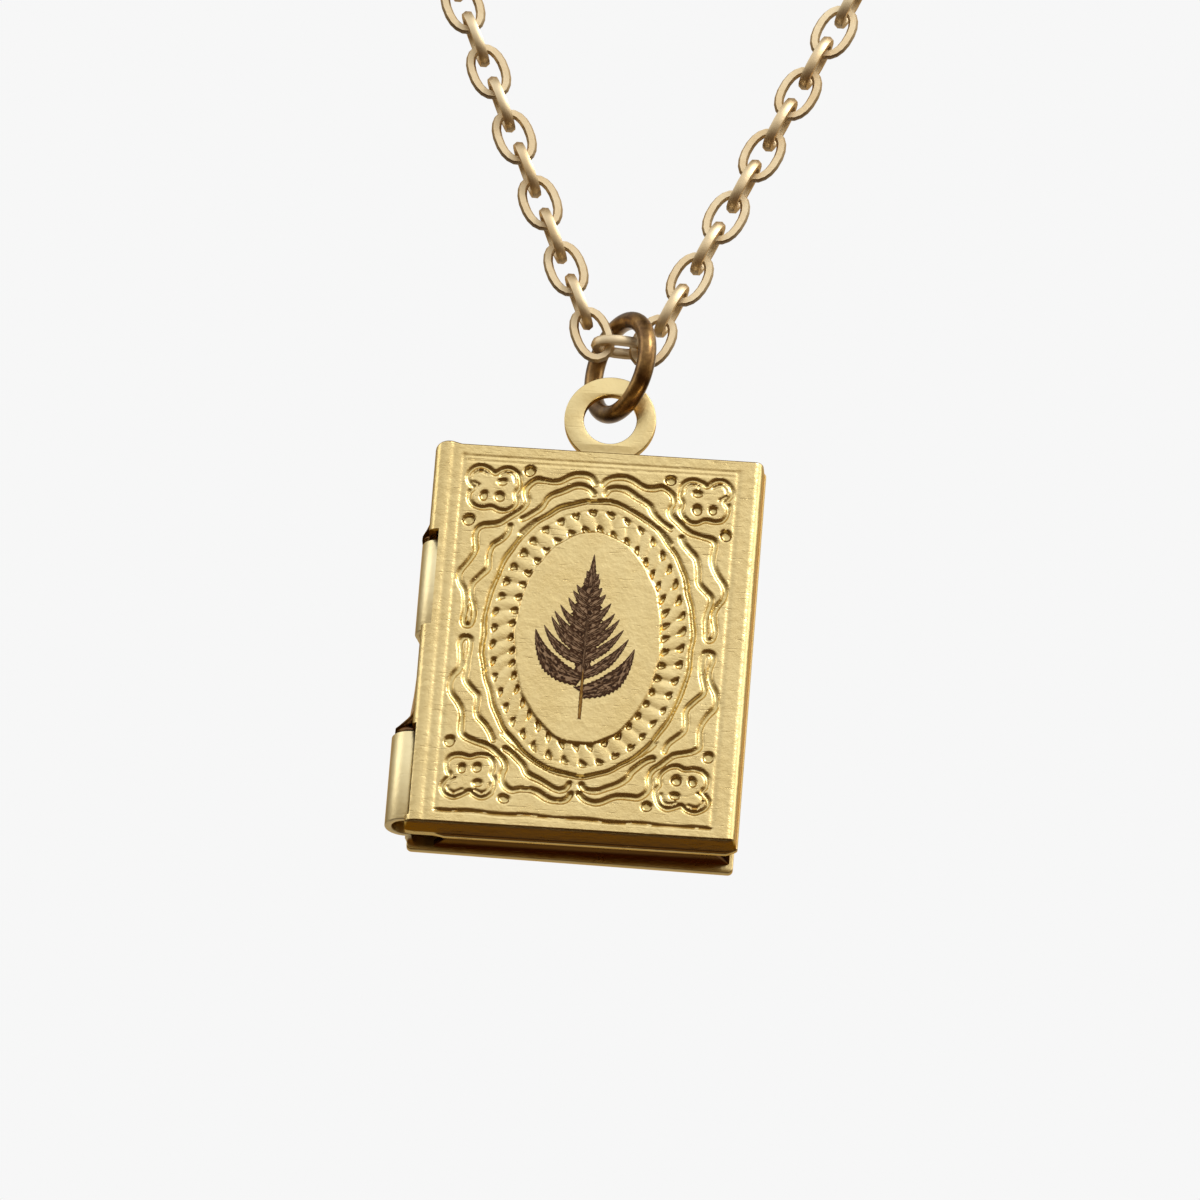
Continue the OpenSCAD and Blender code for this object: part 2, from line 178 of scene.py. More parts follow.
# Pressed channels of the upper right quarter, from the ornament's middle: (half width, depth, points)
QUARTER = (
    (0.13, 0.15, ((0.2, 8.28), (0.38, 8.52), (0.62, 8.66), (0.93, 8.7), (1.25, 8.64), (1.6, 8.48),
                  (1.92, 8.3), (2.25, 8.22), (2.65, 8.24), (3.02, 8.3), (3.32, 8.12), (3.55, 7.82),
                  (3.6, 7.45), (3.5, 7.12), (3.62, 6.76), (4.0, 6.4), (4.3, 6.14), (4.65, 5.92),
                  (5.1, 5.78), (5.5, 5.68), (5.74, 5.5), (5.8, 5.2), (5.78, 4.6), (5.84, 4.2),
                  (6.08, 3.75), (6.36, 3.3), (6.45, 2.9), (6.38, 2.5), (6.15, 2.1), (6.05, 1.7),
                  (6.08, 1.2), (6.14, 0.75), (6.04, 0.42), (5.86, 0.34), (5.7, 0.45), (5.64, 0.8),
                  (5.65, 1.2), (5.72, 1.7), (5.8, 2.25), (5.74, 2.6), (5.42, 3.0), (5.14, 3.35),
                  (5.06, 3.7), (5.05, 4.2), (4.96, 4.6), (4.62, 4.95), (4.32, 5.35), (4.2, 5.7))),
    (0.13, 0.15, ((0.3, 7.76), (0.46, 7.98), (0.7, 8.08), (0.95, 8.09), (1.23, 8.03), (1.56, 7.86),
                  (1.97, 7.62), (2.3, 7.43), (2.52, 7.22), (2.68, 6.92), (2.95, 6.6), (3.3, 6.3),
                  (3.6, 6.14))),
    (0.11, 0.13, ((3.0, 6.02), (3.2, 5.82), (3.42, 5.62), (3.66, 5.34))),
    (0.1, 0.13, ((3.9, 8.1), (4.05, 8.52), (4.5, 8.76), (4.95, 8.64), (5.17, 8.5), (5.45, 8.74),
                  (5.85, 8.86), (6.25, 8.68), (6.42, 8.3), (6.3, 7.95), (6.12, 7.7), (6.3, 7.42),
                  (6.32, 7.0), (6.05, 6.66), (5.65, 6.58), (5.2, 6.68), (4.8, 6.52), (4.4, 6.56),
                  (4.1, 6.82), (4.0, 7.15), (4.08, 7.5), (3.92, 7.8), (3.9, 8.1))),
    (0.06, 0.08, ((4.16, 8.06), (4.28, 8.4), (4.58, 8.52), (4.9, 8.4))),
    (0.06, 0.08, ((5.5, 8.46), (5.85, 8.6), (6.1, 8.44), (6.16, 8.24))),
    (0.05, 0.1, ((5.86, 7.84), (6.0, 7.92), (6.14, 8.04))),
)
# Flat-bottomed pits of the same quarter: (across, up, half width, half height, depth)
PITS = ((3.45, 8.74, 0.27, 0.24, 0.2), (6.26, 5.92, 0.26, 0.27, 0.2), (4.8, 8.05, 0.24, 0.17, 0.15),
        (4.8, 7.24, 0.23, 0.24, 0.18), (5.58, 7.26, 0.2, 0.24, 0.18))
# The braid lies between the raised oval and a flat ring; both are ovals, as is the groove outside the ring
OVAL, BRAID, GROOVE = (3.55, 5.65), (4.77, 6.85), (5.08, 7.33)
GROOVE_HALF, GROOVE_DEPTH = 0.1, 0.18
STRANDS, TWIST = 42, 0.33
# A pit at a strand's end: half width, reach inward, round end, depth, and its place across half the band
PIT_HALF, PIT_REACH, PIT_ROUND, PIT_DEPTH, PIT_AT = 0.185, 0.24, 0.15, 0.17, 0.74


def soft_step(v):
    """0 below 0, 1 above 1 and smooth between."""
    v = np.clip(v, 0, 1)
    return v * v * (3 - 2 * v)


def rounded_path(points, parts=4):
    """More points along a smooth curve through the given ones."""
    p = [Vector(q) for q in points]
    p = [2 * p[0] - p[1]] + p + [2 * p[-1] - p[-2]]
    out = []
    for a, b, c, d in zip(p, p[1:], p[2:], p[3:]):
        for k in range(parts):
            t = k / parts
            out.append(0.5 * (2 * b + (c - a) * t + (2 * a - 5 * b + 4 * c - d) * t ** 2
                              + (3 * b - a - 3 * c + d) * t ** 3))
    return out + [p[-2]]


def press(x, z, relief, points, half, depth, wall=WALL):
    """Presses a channel along a path into the relief: a flat floor between two steep walls."""
    low = np.min(points, axis=0) - half - wall
    high = np.max(points, axis=0) + half + wall
    near = np.nonzero((x > low[0]) & (x < high[0]) & (z > low[1]) & (z < high[1]))[0]
    far = np.full(len(near), np.inf)
    for (ax, az), (bx, bz) in zip(points, points[1:]):
        dx, dz = bx - ax, bz - az
        reach = ((x[near] - ax) * dx + (z[near] - az) * dz) / max(dx * dx + dz * dz, NEAR_ZERO)
        t = np.clip(reach, 0, 1)
        far = np.minimum(far, np.hypot(x[near] - ax - t * dx, z[near] - az - t * dz))
    pressed = -depth * soft_step((half + wall / 2 - far) / wall)
    relief[near] = np.minimum(relief[near], pressed)


def pit(x, z, relief, cx, cz, a, b, depth):
    """Presses an oval pit, a wide and b high each way from its middle."""
    r = np.hypot((x - cx) / a, (z - cz) / b)
    floor_at = -depth * soft_step((1 - r) * min(a, b) / WALL + 0.5)
    np.minimum(relief, floor_at, out=relief)


def outside(u, v, oval):
    """Distance outside an oval, in millimetres."""
    q = np.maximum(np.hypot(u / oval[0], v / oval[1]), NEAR_ZERO)
    return (q - 1) * np.hypot(u, v) / q


def braid(u, v):
    """Depth of the braid: slanting strands, and a pit at both ends of each."""
    a, b = (OVAL[0] + BRAID[0]) / 2, (OVAL[1] + BRAID[1]) / 2
    angles = np.linspace(0, 2 * math.pi, 1441)
    steps = np.hypot(np.diff(a * np.cos(angles)), np.diff(b * np.sin(angles)))
    length = np.concatenate(([0], np.cumsum(steps)))
    along = np.interp(np.arctan2(v / b, u / a) % (2 * math.pi), angles, length) / length[-1] * STRANDS
    strand_w = length[-1] / STRANDS
    inner, outer = outside(u, v, OVAL), outside(u, v, BRAID)
    across = np.clip((inner + outer) / np.maximum(inner - outer, NEAR_ZERO), -1, 1)
    edge = np.abs(across)
    off = np.abs((along - TWIST * across) % 1 - 0.5)
    # Pits like drops: round at the band's edge and drawn out to a point between two strands
    reach = PIT_REACH + 0.07 * np.sin(along * 2 * math.pi * 3 / STRANDS + 1)
    inward = (PIT_AT - edge) * (inner - outer) / 2
    width = PIT_HALF * np.where(inward > 0, 1 - 0.5 * np.clip(inward / reach, 0, 1), 1)
    far = np.hypot(off * strand_w / width, inward / np.where(inward > 0, reach, PIT_ROUND))
    pits = PIT_DEPTH * soft_step((1 - far) * 1.3 + 0.4)
    rounding = 0.035 * (1 - 2 * off) ** 2 + 0.07 * soft_step((edge - 0.86) / 0.14)
    return np.maximum(pits, rounding)


def wobble(x, z, *waves):
    """Slow waves over the sheet, each (size, along x, along z, start), as hand work leaves them."""
    return sum(size * np.sin(kx * x + kz * z + start) for size, kx, kz, start in waves)


def stamped(x, z):
    """Height of the pressed relief over the flat of the face, in millimetres."""
    relief = np.zeros_like(x)
    # The engraver's hand: nothing on the die is quite straight or even
    u = x - MIDDLE_X + wobble(x, z, (0.03, 1.7, 2.3, 0), (0.022, -2.1, 3.9, 1))
    v = (z - 0.06) * 1.013 + wobble(x, z, (0.03, 2.1, -1.6, 2), (0.022, 4.3, 2.7, 0))
    from_oval = outside(u, v, OVAL)
    band = soft_step(from_oval / 0.08) * soft_step(-outside(u, v, BRAID) / 0.08)
    relief -= band * braid(u, v)
    from_groove = np.abs(outside(u, v, GROOVE))
    np.minimum(relief, -GROOVE_DEPTH * soft_step((GROOVE_HALF + WALL / 2 - from_groove) / WALL), out=relief)
    for sx in (-1, 1):
        for sz in (-1, 1):
            for half, depth, points in QUARTER:
                path = [(p[0] * sx, p[1] * sz) for p in rounded_path(points)]
                press(u, v, relief, path, half, depth)
            for cx, cz, a, b, depth in PITS:
                pit(u, v, relief, cx * sx, cz * sz, a, b, depth)
    # The frame's lines, of which the lowest wanders, and the groove: (half width, depth, wall, points)
    left, fore, low, high = -6.56, 6.84, -9.31, 9.29
    foot = [(p, low - 0.1 - 0.01 * p + 0.035 * math.sin(2.3 * p)) for p in np.linspace(left, fore, 40)]
    for half, depth, wall, points in (
            (0.05, 0.11, 0.13, foot),
            (0.03, 0.05, 0.12, [(left, high), (fore, high)]),
            (0.03, 0.03, 0.12, [(left, high - 0.25), (fore, high - 0.25)]),
            (0.08, 0.045, 0.22, [(left, low), (left, high)]),
            (0.08, 0.045, 0.22, [(fore, low), (fore, high)]),
            (0.08, 0.045, 0.3, [(SPINE_GROOVE, -11), (SPINE_GROOVE, 11)])):
        press(x, z, relief, points, half, depth, wall)
    relief *= 0.93 + wobble(x, z, (0.1, 0.9, 1.3, 0), (0.06, 2.9, -1.7, 0))
    relief += OVAL_RISE * 0.6 * soft_step((0.04 - from_oval) / 0.08)
    return relief


def grid_lines(half, bends, step, fine, extra=()):
    """Places of a grid's lines across one direction: close in the ornament and round the turned edges."""
    flat = (bends[0] - half, half - bends[1])
    places = [flat[0] + 0.02, flat[1] - 0.02, flat[1]]
    for a in np.linspace(0, math.pi / 2, 7)[1:]:
        places += [flat[0] - bends[0] * math.sin(a), flat[1] + bends[1] * math.sin(a)]
    places.append(flat[0])
    for start, end, gap in ((flat[0] + 0.1, fine[0], 2 * step), (fine[0], fine[1], step),
                            (fine[1], flat[1] - 0.1, 2 * step)):
        places += list(np.linspace(start, end, max(round((end - start) / gap), 1), endpoint=False))
    for line in extra:
        nearest = min(range(len(places)), key=lambda i: abs(places[i] - line))
        places[nearest] = line
    return np.array(sorted(places))


def over(places, half, bends):
    """How far places lie in the bend at either end, 0 to 1 with the end's sign, and that bend's width."""
    low, high = (-half + bends[0] - places) / bends[0], (places - half + bends[1]) / bends[1]
    return np.where(high > 0, high, np.where(low > 0, -low, 0)), np.where(places > 0, bends[1], bends[0])


def rubbed(into):
    """Wear at a corner, from 0 where it starts to 1 at the edge, as a quarter round."""
    return 1 - np.sqrt(1 - np.clip(into, 0, 1) ** 2)


def sheet_side(name, inset, step, relief):
    """One side of the stamped sheet as a grid with its turned edges, notches and flanges."""
    half_w, half_h = WIDTH / 2 - inset, HEIGHT / 2 - inset
    bends_x = [max(bend - inset, 0.06) for bend in (BEND_SPINE, BEND_FORE)]
    bends_z = [max(bend - inset, 0.06) for bend in (BEND_FOOT, BEND_TOP)]
    deep = BEND_DEEP - inset
    # Inside, both notches are cut as far back as the deeper one
    notches = [(low, high, NOTCHES[0][2] if inset else to_x) for low, high, to_x in NOTCHES]
    xs = grid_lines(half_w, bends_x, step, ORNAMENT_X, [notch[2] for notch in notches])
    zs = grid_lines(half_h, bends_z, step, ORNAMENT_Z, [edge for notch in notches for edge in notch[:2]])
    bpy.ops.mesh.primitive_grid_add(x_subdivisions=len(xs) - 1, y_subdivisions=len(zs) - 1, size=2)
    piece = bpy.context.object
    piece.name = name
    co = np.empty(len(piece.data.vertices) * 3)
    piece.data.vertices.foreach_get("co", co)
    co = co.reshape(-1, 3)
    x = xs[np.rint((co[:, 0] + 1) / 2 * (len(xs) - 1)).astype(int)]
    z = zs[np.rint((co[:, 1] + 1) / 2 * (len(zs) - 1)).astype(int)]
    height = stamped(x, z) if relief else np.zeros_like(x)
    # Past the flat the sheet turns back, and the corners are rounded like part of a ball
    (over_x, wide_x), (over_z, wide_z) = over(x, half_w, bends_x), over(z, half_h, bends_z)
    most = np.maximum(np.abs(over_x), np.abs(over_z))
    pull = most / np.maximum(np.hypot(over_x, over_z), NEAR_ZERO)
    x = x - np.where(over_x != 0, over_x * (1 - pull) * wide_x, 0)
    z = z - np.where(over_z != 0, over_z * (1 - pull) * wide_z, 0)
    # The top of the spine stands a little proud of the edge, and is rubbed round like the lower fore corner
    z = z + SPINE_PROUD * soft_step((z - 9.0) / 1.0) * soft_step((-6.7 - x) / 0.5)
    z = z - RUBBED_TOP * rubbed((-7.3 - x) / 0.7) * soft_step((z - 9.0) / 0.8)
    z = z + RUBBED_FOOT * rubbed((x - 7.4) / 0.6) * soft_step((-9.2 - z) / 0.7)
    y = inset + deep * (1 - np.sqrt(np.maximum(1 - most ** 2, 0))) - height
    piece.data.vertices.foreach_set("co", np.stack((x, y, z), axis=1).ravel())
    # Painted shade in brown under the foot and on the top's edge, where these turned edges fall in shade
    mark = np.where(over_z < 0, np.minimum(PAINTED_SHADE * soft_step((-over_z - 0.25) / 0.6), height), height)
    mark = np.where(over_z > 0.45, 0.85 * PAINTED_SHADE, mark)
    depth_and_shade = piece.data.attributes.new("relief", "FLOAT", "POINT")
    depth_and_shade.data.foreach_set("value", mark.astype(np.float32))

    bpy.ops.object.mode_set(mode="EDIT")
    shape = bmesh.from_edit_mesh(piece.data)
    for face in shape.faces:
        c = face.calc_center_median()
        face.select = any(c.x < to_x and low < c.z < high for low, high, to_x in notches)
    bpy.ops.mesh.delete(type="FACE")
    # The edges on the outline are drawn back into flanges, and the last steps flare into the lip
    bpy.ops.mesh.select_all(action="DESELECT")
    bpy.ops.mesh.select_mode(type="EDGE")
    shape = bmesh.from_edit_mesh(piece.data)
    tiny = 1e-4
    for edge in shape.edges:
        edge.select_set(edge.is_boundary and all(p.co.y > inset + deep - tiny for p in edge.verts))
    last = 0.0
    lip_y = FRONT_DEPTH - LIP_W
    # (depth, share of the flare)
    rows = ((1.0, 0.2), (lip_y - 0.04, 0.4), (lip_y, 0.45), (lip_y + 0.03, 0.9), (lip_y + 0.07, 1.0),
            (FRONT_DEPTH - 0.06, 1.0), (FRONT_DEPTH, 0.7))
    for y_to, out in rows:
        bpy.ops.mesh.extrude_edges_move()
        shape = bmesh.from_edit_mesh(piece.data)
        on_lip = y_to > lip_y - 0.01
        for p in (q for q in shape.verts if q.select):
            flat = Vector((min(max(p.co.x, bends_x[0] - half_w), half_w - bends_x[1]), p.co.y,
                           min(max(p.co.z, bends_z[0] - half_h), half_h - bends_z[1])))
            flare = LIP_OUT * (out - last) * min(max((p.co.x + 6.6) / 0.5, 0), 1)
            p.co += (p.co - flat).normalized() * flare
            p.co.y = y_to
            # Under the foot the flange takes painted shade in brown and its lip stays bare; elsewhere the
            # flange is bare and its lip scuffed
            if p.co.z < FOOT_Z:
                mark = BARE if on_lip else PAINTED_SHADE
            else:
                mark = SCUFFED if on_lip else BARE
            p[shape.verts.layers.float["relief"]] = mark
        last = out
    # The notches' upper edges take painted shade in brown, for the shadow in the gaps beside the knuckles
    for p in shape.verts:
        shaded_notch_edge = any(abs(p.co.z - edge) < 0.03 and p.co.x < to_x + 0.03 for low, edge, to_x in notches)
        if p.co.y > 0.3 and shaded_notch_edge:
            p[shape.verts.layers.float["relief"]] = PAINTED_SHADE
    bmesh.update_edit_mesh(piece.data)
    bpy.ops.object.mode_set(mode="OBJECT")
    return piece


def rim_loop(shape, side):
    """The one open edge of a side of the sheet, as its vertices in order."""
    edges = {e for e in shape.edges if e.is_boundary and e.verts[0] in side}
    start = min((v for e in edges for v in e.verts), key=lambda v: (-v.co.x, -v.co.z, v.co.y))
    loop, here, last = [start], start, None
    while True:
        step = next(e for e in here.link_edges if e in edges and e is not last)
        here, last = step.other_vert(here), step
        if here is start:
            return loop
        loop.append(here)


def two_sided(outer, inner):
    """Makes two sides of the sheet one wall: the rims are joined, always across the shorter diagonal."""
    shape = bmesh.new()
    ends = [0]
    for piece in (outer, inner):
        shape.from_mesh(piece.data)
        ends.append(len(shape.verts))
    shape.verts.ensure_lookup_table()
    a, b = [rim_loop(shape, set(shape.verts[first:last])) for first, last in zip(ends, ends[1:])]
    if (a[1].co - a[0].co).dot(b[1].co - b[0].co) < 0:
        b[1:] = b[:0:-1]
    i = j = 0
    while i < len(a) or j < len(b):
        p, q = a[i % len(a)], b[j % len(b)]
        p_next, q_next = a[(i + 1) % len(a)], b[(j + 1) % len(b)]
        if j >= len(b) or (i < len(a) and (p_next.co - q.co).length < (q_next.co - p.co).length):
            shape.faces.new((p, p_next, q))
            i += 1
        else:
            shape.faces.new((p, q_next, q))
            j += 1
    bmesh.ops.recalc_face_normals(shape, faces=shape.faces)
    shape.to_mesh(outer.data)
    shape.free()
    bpy.data.objects.remove(inner)


outer = sheet_side("front_cover_stamped", 0.0, GRID, True)
two_sided(outer, sheet_side("front_cover_inside", SHEET, GRID_INSIDE, False))


def into_frame(piece):
    """Takes a piece modelled in millimetres round the face's middle to its place in the frame."""
    piece.data.transform(Matrix.Translation(FACE) @ Matrix.Scale(MM, 4))
    piece.data.update()


def use(piece):
    """Selects one piece alone and makes it the active one."""
    bpy.ops.object.select_all(action="DESELECT")
    piece.select_set(True)
    bpy.context.view_layer.objects.active = piece


def apply(piece, kind, **settings):
    """Adds a modifier and applies it."""
    use(piece)
    made = piece.modifiers.new(kind.lower(), kind)
    for key, value in settings.items():
        setattr(made, key, value)
    bpy.ops.object.modifier_apply(modifier=made.name)


def smooth(piece, degrees):
    """Smooth shading, with edges sharper than that angle kept."""
    use(piece)
    bpy.ops.object.shade_smooth_by_angle(angle=math.radians(degrees))


def join(name, *parts):
    """Makes several parts one piece."""
    bpy.ops.object.select_all(action="DESELECT")
    for part in parts:
        part.select_set(True)
    bpy.context.view_layer.objects.active = parts[0]
    bpy.ops.object.join()
    parts[0].name = name
    return parts[0]


# The pin's place and the radius kept free round it, and the lower and upper ends of the four knuckles
PIN_X, PIN_Y, BARREL_R = -WIDTH / 2 + 0.6, 2.2, 0.6
KNUCKLES = ((5.36, 9.9), (0.46, 5.2), (-4.84, 0.34), (-9.58, -5.0))


def strip(name, rows, thick, ease=0.04):
    """A strip of sheet given as rows of points, made as thick as it is and with its edges eased."""
    bpy.ops.mesh.primitive_plane_add(size=1)
    piece = bpy.context.object
    piece.name = name
    shape = bmesh.new()
    rows = [[shape.verts.new(point) for point in row] for row in rows]
    for one, two in zip(rows, rows[1:]):
        for k in range(len(one) - 1):
            shape.faces.new((one[k], one[k + 1], two[k + 1], two[k]))
    shape.to_mesh(piece.data)
    shape.free()
    apply(piece, "SOLIDIFY", thickness=thick, offset=0)
    apply(piece, "BEVEL", width=ease, segments=2, limit_method="ANGLE", angle_limit=math.radians(50))
    return piece


def arc(cx, cy, r, start, end, count=24):
    """Points round a centre in the plan view, angles in degrees."""
    return [(cx + r * math.cos(math.radians(start + (end - start) * k / count)),
             cy + r * math.sin(math.radians(start + (end - start) * k / count))) for k in range(count + 1)]


# From the spine wall the sheet curls once round the pin, and its lower end stands open to the left:
# (which knuckle, how much it opens along its length, how far it reaches to the left)
front_rolls = []
for n, swell, reach in ((0, 0.0, 0.11), (2, 0.4, 0.64)):
    low, high = KNUCKLES[n][0] + 0.02, KNUCKLES[n][1] - 0.02
    tight = [(-WIDTH / 2 + 0.17, 0.45), (-WIDTH / 2 + 0.16, 0.9)] + arc(PIN_X, PIN_Y, 0.45, 180, -150)
    loose = [(-WIDTH / 2 + 0.15, 0.45), (-WIDTH / 2 + 0.1 - reach * 0.4, 1.1)]
    loose += arc(PIN_X - reach, PIN_Y, 0.8, 195, -150)
    rows = []
    for z in (high, high - 1, high - 2, high - 3, low + 0.75, low + 0.4, low + 0.15, low):
        end = max(1 - (z - low) / 0.76, 0)
        out = min(end + swell * ((high - z) / (high - low)) ** 1.5 * (1 - end), 1)
        rows.append([(tx + (lx - tx) * out, ty + (ly - ty) * out, z + 0.5 * end * max(1 - k / 4, 0))
                     for k, ((tx, ty), (lx, ly)) in enumerate(zip(tight, loose))])
    roll = strip("front_knuckle", rows, 0.25)
    # Painted shade in brown inside the open end
    shade_mark = roll.data.attributes.new("relief", "FLOAT", "POINT")
    shade_mark.data.foreach_set("value", [PAINTED_SHADE if p.co.z < low + 0.8 else BARE for p in roll.data.vertices])
    front_rolls.append(roll)
front_cover = join("front_cover_stamped", outer, *front_rolls)
into_frame(front_cover)
smooth(front_cover, 50)

# Sizes of the slow changes of tone and of the hair scratches
CLOUD_MM, SCRATCH_MM = 2.5, 0.12


def brass(name, pale, deep, rough, grain_mm, grain_depth, patina_and_shade=None):
    """Metal with a fine sandy grain, slow changes of tone, and a few hair scratches.

    With a patina colour it reads "relief": pressed depths take that colour as patina and painted shade, the
    places marked for painted shade turn brown, and scuffs show.
    """
    made, shader = material(name, Metallic=1.0, Specular_Tint=colour("#d8ae74"))
    tree = made.node_tree
    place = add(tree, "ShaderNodeTexCoord").outputs["Object"]
    clouds = add(tree, "ShaderNodeTexNoise", {"Scale": 1 / (CLOUD_MM * MM), "Detail": 4.0, "Roughness": 0.6},
                 Vector=place).outputs["Fac"]
    tone = ramp(tree, clouds, (0.32, deep), (0.68, pale))
    gloss = add(tree, "ShaderNodeMapRange", {"To Min": rough - 0.05, "To Max": rough + 0.07},
                Value=clouds).outputs[0]
    if patina_and_shade:
        sunk = add(tree, "ShaderNodeAttribute", {"attribute_name": "relief"}).outputs["Fac"]
        # (where it starts, where it is full, how much of it, colour)
        # The pressed depths take the first colour, partly patina and partly painted shade; the marked places
        # take the brown of painted shade
        for start, full, most, code in ((-0.03, -0.16, 0.3, patina_and_shade), (-0.4, PAINTED_SHADE, 0.9, "#6f4d3e")):
            mask = add(tree, "ShaderNodeMapRange", {"From Min": start, "From Max": full, "To Max": most},
                       Value=sunk)
            tone = add(tree, "ShaderNodeMixRGB", {"Color2": colour(code)}, Fac=mask.outputs[0],
                       Color1=tone).outputs[0]
        scuff = add(tree, "ShaderNodeMapRange", {"From Min": 0.85, "From Max": SCUFFED, "To Max": 0.45},
                    Value=sunk)
        gloss = add(tree, "ShaderNodeMath", {"operation": "ADD", 0: gloss, 1: scuff.outputs[0]}).outputs[0]
    tree.links.new(tone, shader.inputs["Base Color"])
    tree.links.new(gloss, shader.inputs["Roughness"])
    grain = add(tree, "ShaderNodeTexNoise",
                {"Scale": 1 / (grain_mm * MM), "Detail": 4.0, "Roughness": 0.6}, Vector=place)
    stretched = add(tree, "ShaderNodeMapping", {"Scale": (0.1, 1.0, 1.0), "Rotation": (0.0, 0.3, 0.0)},
                    Vector=place)
    lines = add(tree, "ShaderNodeTexNoise", {"Scale": 1 / (SCRATCH_MM * MM), "Detail": 1.0},
                Vector=stretched.outputs[0])
    hair = add(tree, "ShaderNodeMapRange", {"From Min": 0.66, "From Max": 0.72, "To Max": -0.2},
               Value=lines.outputs["Fac"])
    rough_at = add(tree, "ShaderNodeMath", {"operation": "ADD", 0: grain.outputs["Fac"], 1: hair.outputs[0]})
    bump = add(tree, "ShaderNodeBump", {"Strength": 1.0, "Distance": grain_depth * MM},
               Height=rough_at.outputs[0])
    tree.links.new(bump.outputs[0], shader.inputs["Normal"])
    return made


def coat(piece, metal):
    """Gives a piece its only material."""
    piece.data.materials.clear()
    piece.data.materials.append(metal)


# Raw brass sheet, stamped and tumbled: satin, a pale yellow, a little darker in the pressed lines from patina
# and painted shade
stamped_brass = brass("stamped raw brass", "#ead69f", "#e2cb91", 0.27, 0.42, 0.03, patina_and_shade="#b5a660")
coat(front_cover, stamped_brass)
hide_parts("front_cover")
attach(front_cover, "front")

# Fern
# A fern leaf printed on the smooth oval by laser: a thin dark brown film with paler streaks.
# It is a generic leaf, grown from its midrib in pairs of toothed leaflets.
FERN_TOP, FERN_FOOT = Vector((0.15, 4.44)), Vector((0.05, -4.22))
FERN_Y = -OVAL_RISE * 0.6
random.seed(7)
shape = bmesh.new()
print_uv = shape.loops.layers.uv.new("print")


def leaflet(base, tip, bow, width, depth, ink=0):
    """A tapering toothed leaflet along a bowed line; its UV is -1 to 1 across and millimetres along."""
    axis = tip - base
    across = Vector((-axis.y, axis.x)).normalized()
    count = max(int(axis.length / 0.055), 8)
    rows = []
    for k in range(count + 1):
        t = k / count
        mid = base + axis * t + across * bow * 4 * t * (1 - t)
        spread = width * min((1 - t) * 2.0, 1) ** 0.8 * (0.8 + 0.2 * min(t * 4, 1)) + 0.012
        rows.append([])
        for side in (1, 0, -1):
            # The teeth point to the tip, and are larger on the leaflet's lower side
            tooth = (0.14 if side * bow < 0 else 0.24) * (k % 4) / 4
            point = mid + side * across * spread * (1 - tooth)
            point -= abs(side) * axis.normalized() * spread * 0.25
            rows[-1].append(shape.verts.new((point.x, depth, point.y)))
    for k in range(count):
        for s in (0, 1):
            quad = (rows[k][s], rows[k][s + 1], rows[k + 1][s + 1], rows[k + 1][s])
            face = shape.faces.new(quad)
            face.material_index = ink
            for corner, (su, sv) in zip(face.loops, ((s, k), (s + 1, k), (s + 1, k + 1), (s, k + 1))):
                corner[print_uv].uv = (su - 1, sv / count * axis.length)


# Each leaflet lies a hair over the last, so that no two faces are in one place
PAIRS, FILM_STEP = 10, 0.0007
film = 0.0005
leaflet(Vector((-0.06, -1.0)), Vector((0.14, 3.95)), 0.0, 0.8, FERN_Y - film)
leaflet(Vector((0.0, -2.0)), Vector((0.06, 0.4)), 0.0, 0.4, FERN_Y - film - 0.0003)
for k in range(PAIRS):
    t = k / (PAIRS - 1)
    for side in (-1, 1):
        film += FILM_STEP
        tip = Vector((0.14 - 0.1 * t + side * (0.34 + 2.1 * t ** 1.35 + random.uniform(-0.1, 0.1)),
                      3.62 - 3.35 * t - (0.1 + 0.55 * t ** 2) * (side > 0) + random.uniform(-0.09, 0.09)))
        # The lowest pair is much the broadest and hangs in a deep curve
        rise, lowest = math.tan(math.radians(43 + random.uniform(-3, 3))), t ** 16
        base = Vector((0.12 - 0.14 * t, tip.y - rise * abs(tip.x - 0.1)))
        bow = -side * (0.08 + 0.2 * t ** 2 + 0.3 * lowest + random.uniform(-0.03, 0.03))
        leaflet(base, tip, bow, 0.2 + 0.04 * t + 0.28 * lowest + random.uniform(-0.02, 0.02), FERN_Y - film)
film += FILM_STEP
leaflet(Vector((0.12, 2.7)), FERN_TOP, 0.0, 0.17, FERN_Y - film)
leaflet(FERN_FOOT, FERN_FOOT + Vector((0.0, 5.4)), 0.0, 0.07, FERN_Y - film - 0.001)
leaflet(FERN_FOOT, FERN_FOOT + Vector((0.0, 2.6)), 0.0, 0.085, FERN_Y - film - 0.002, ink=1)


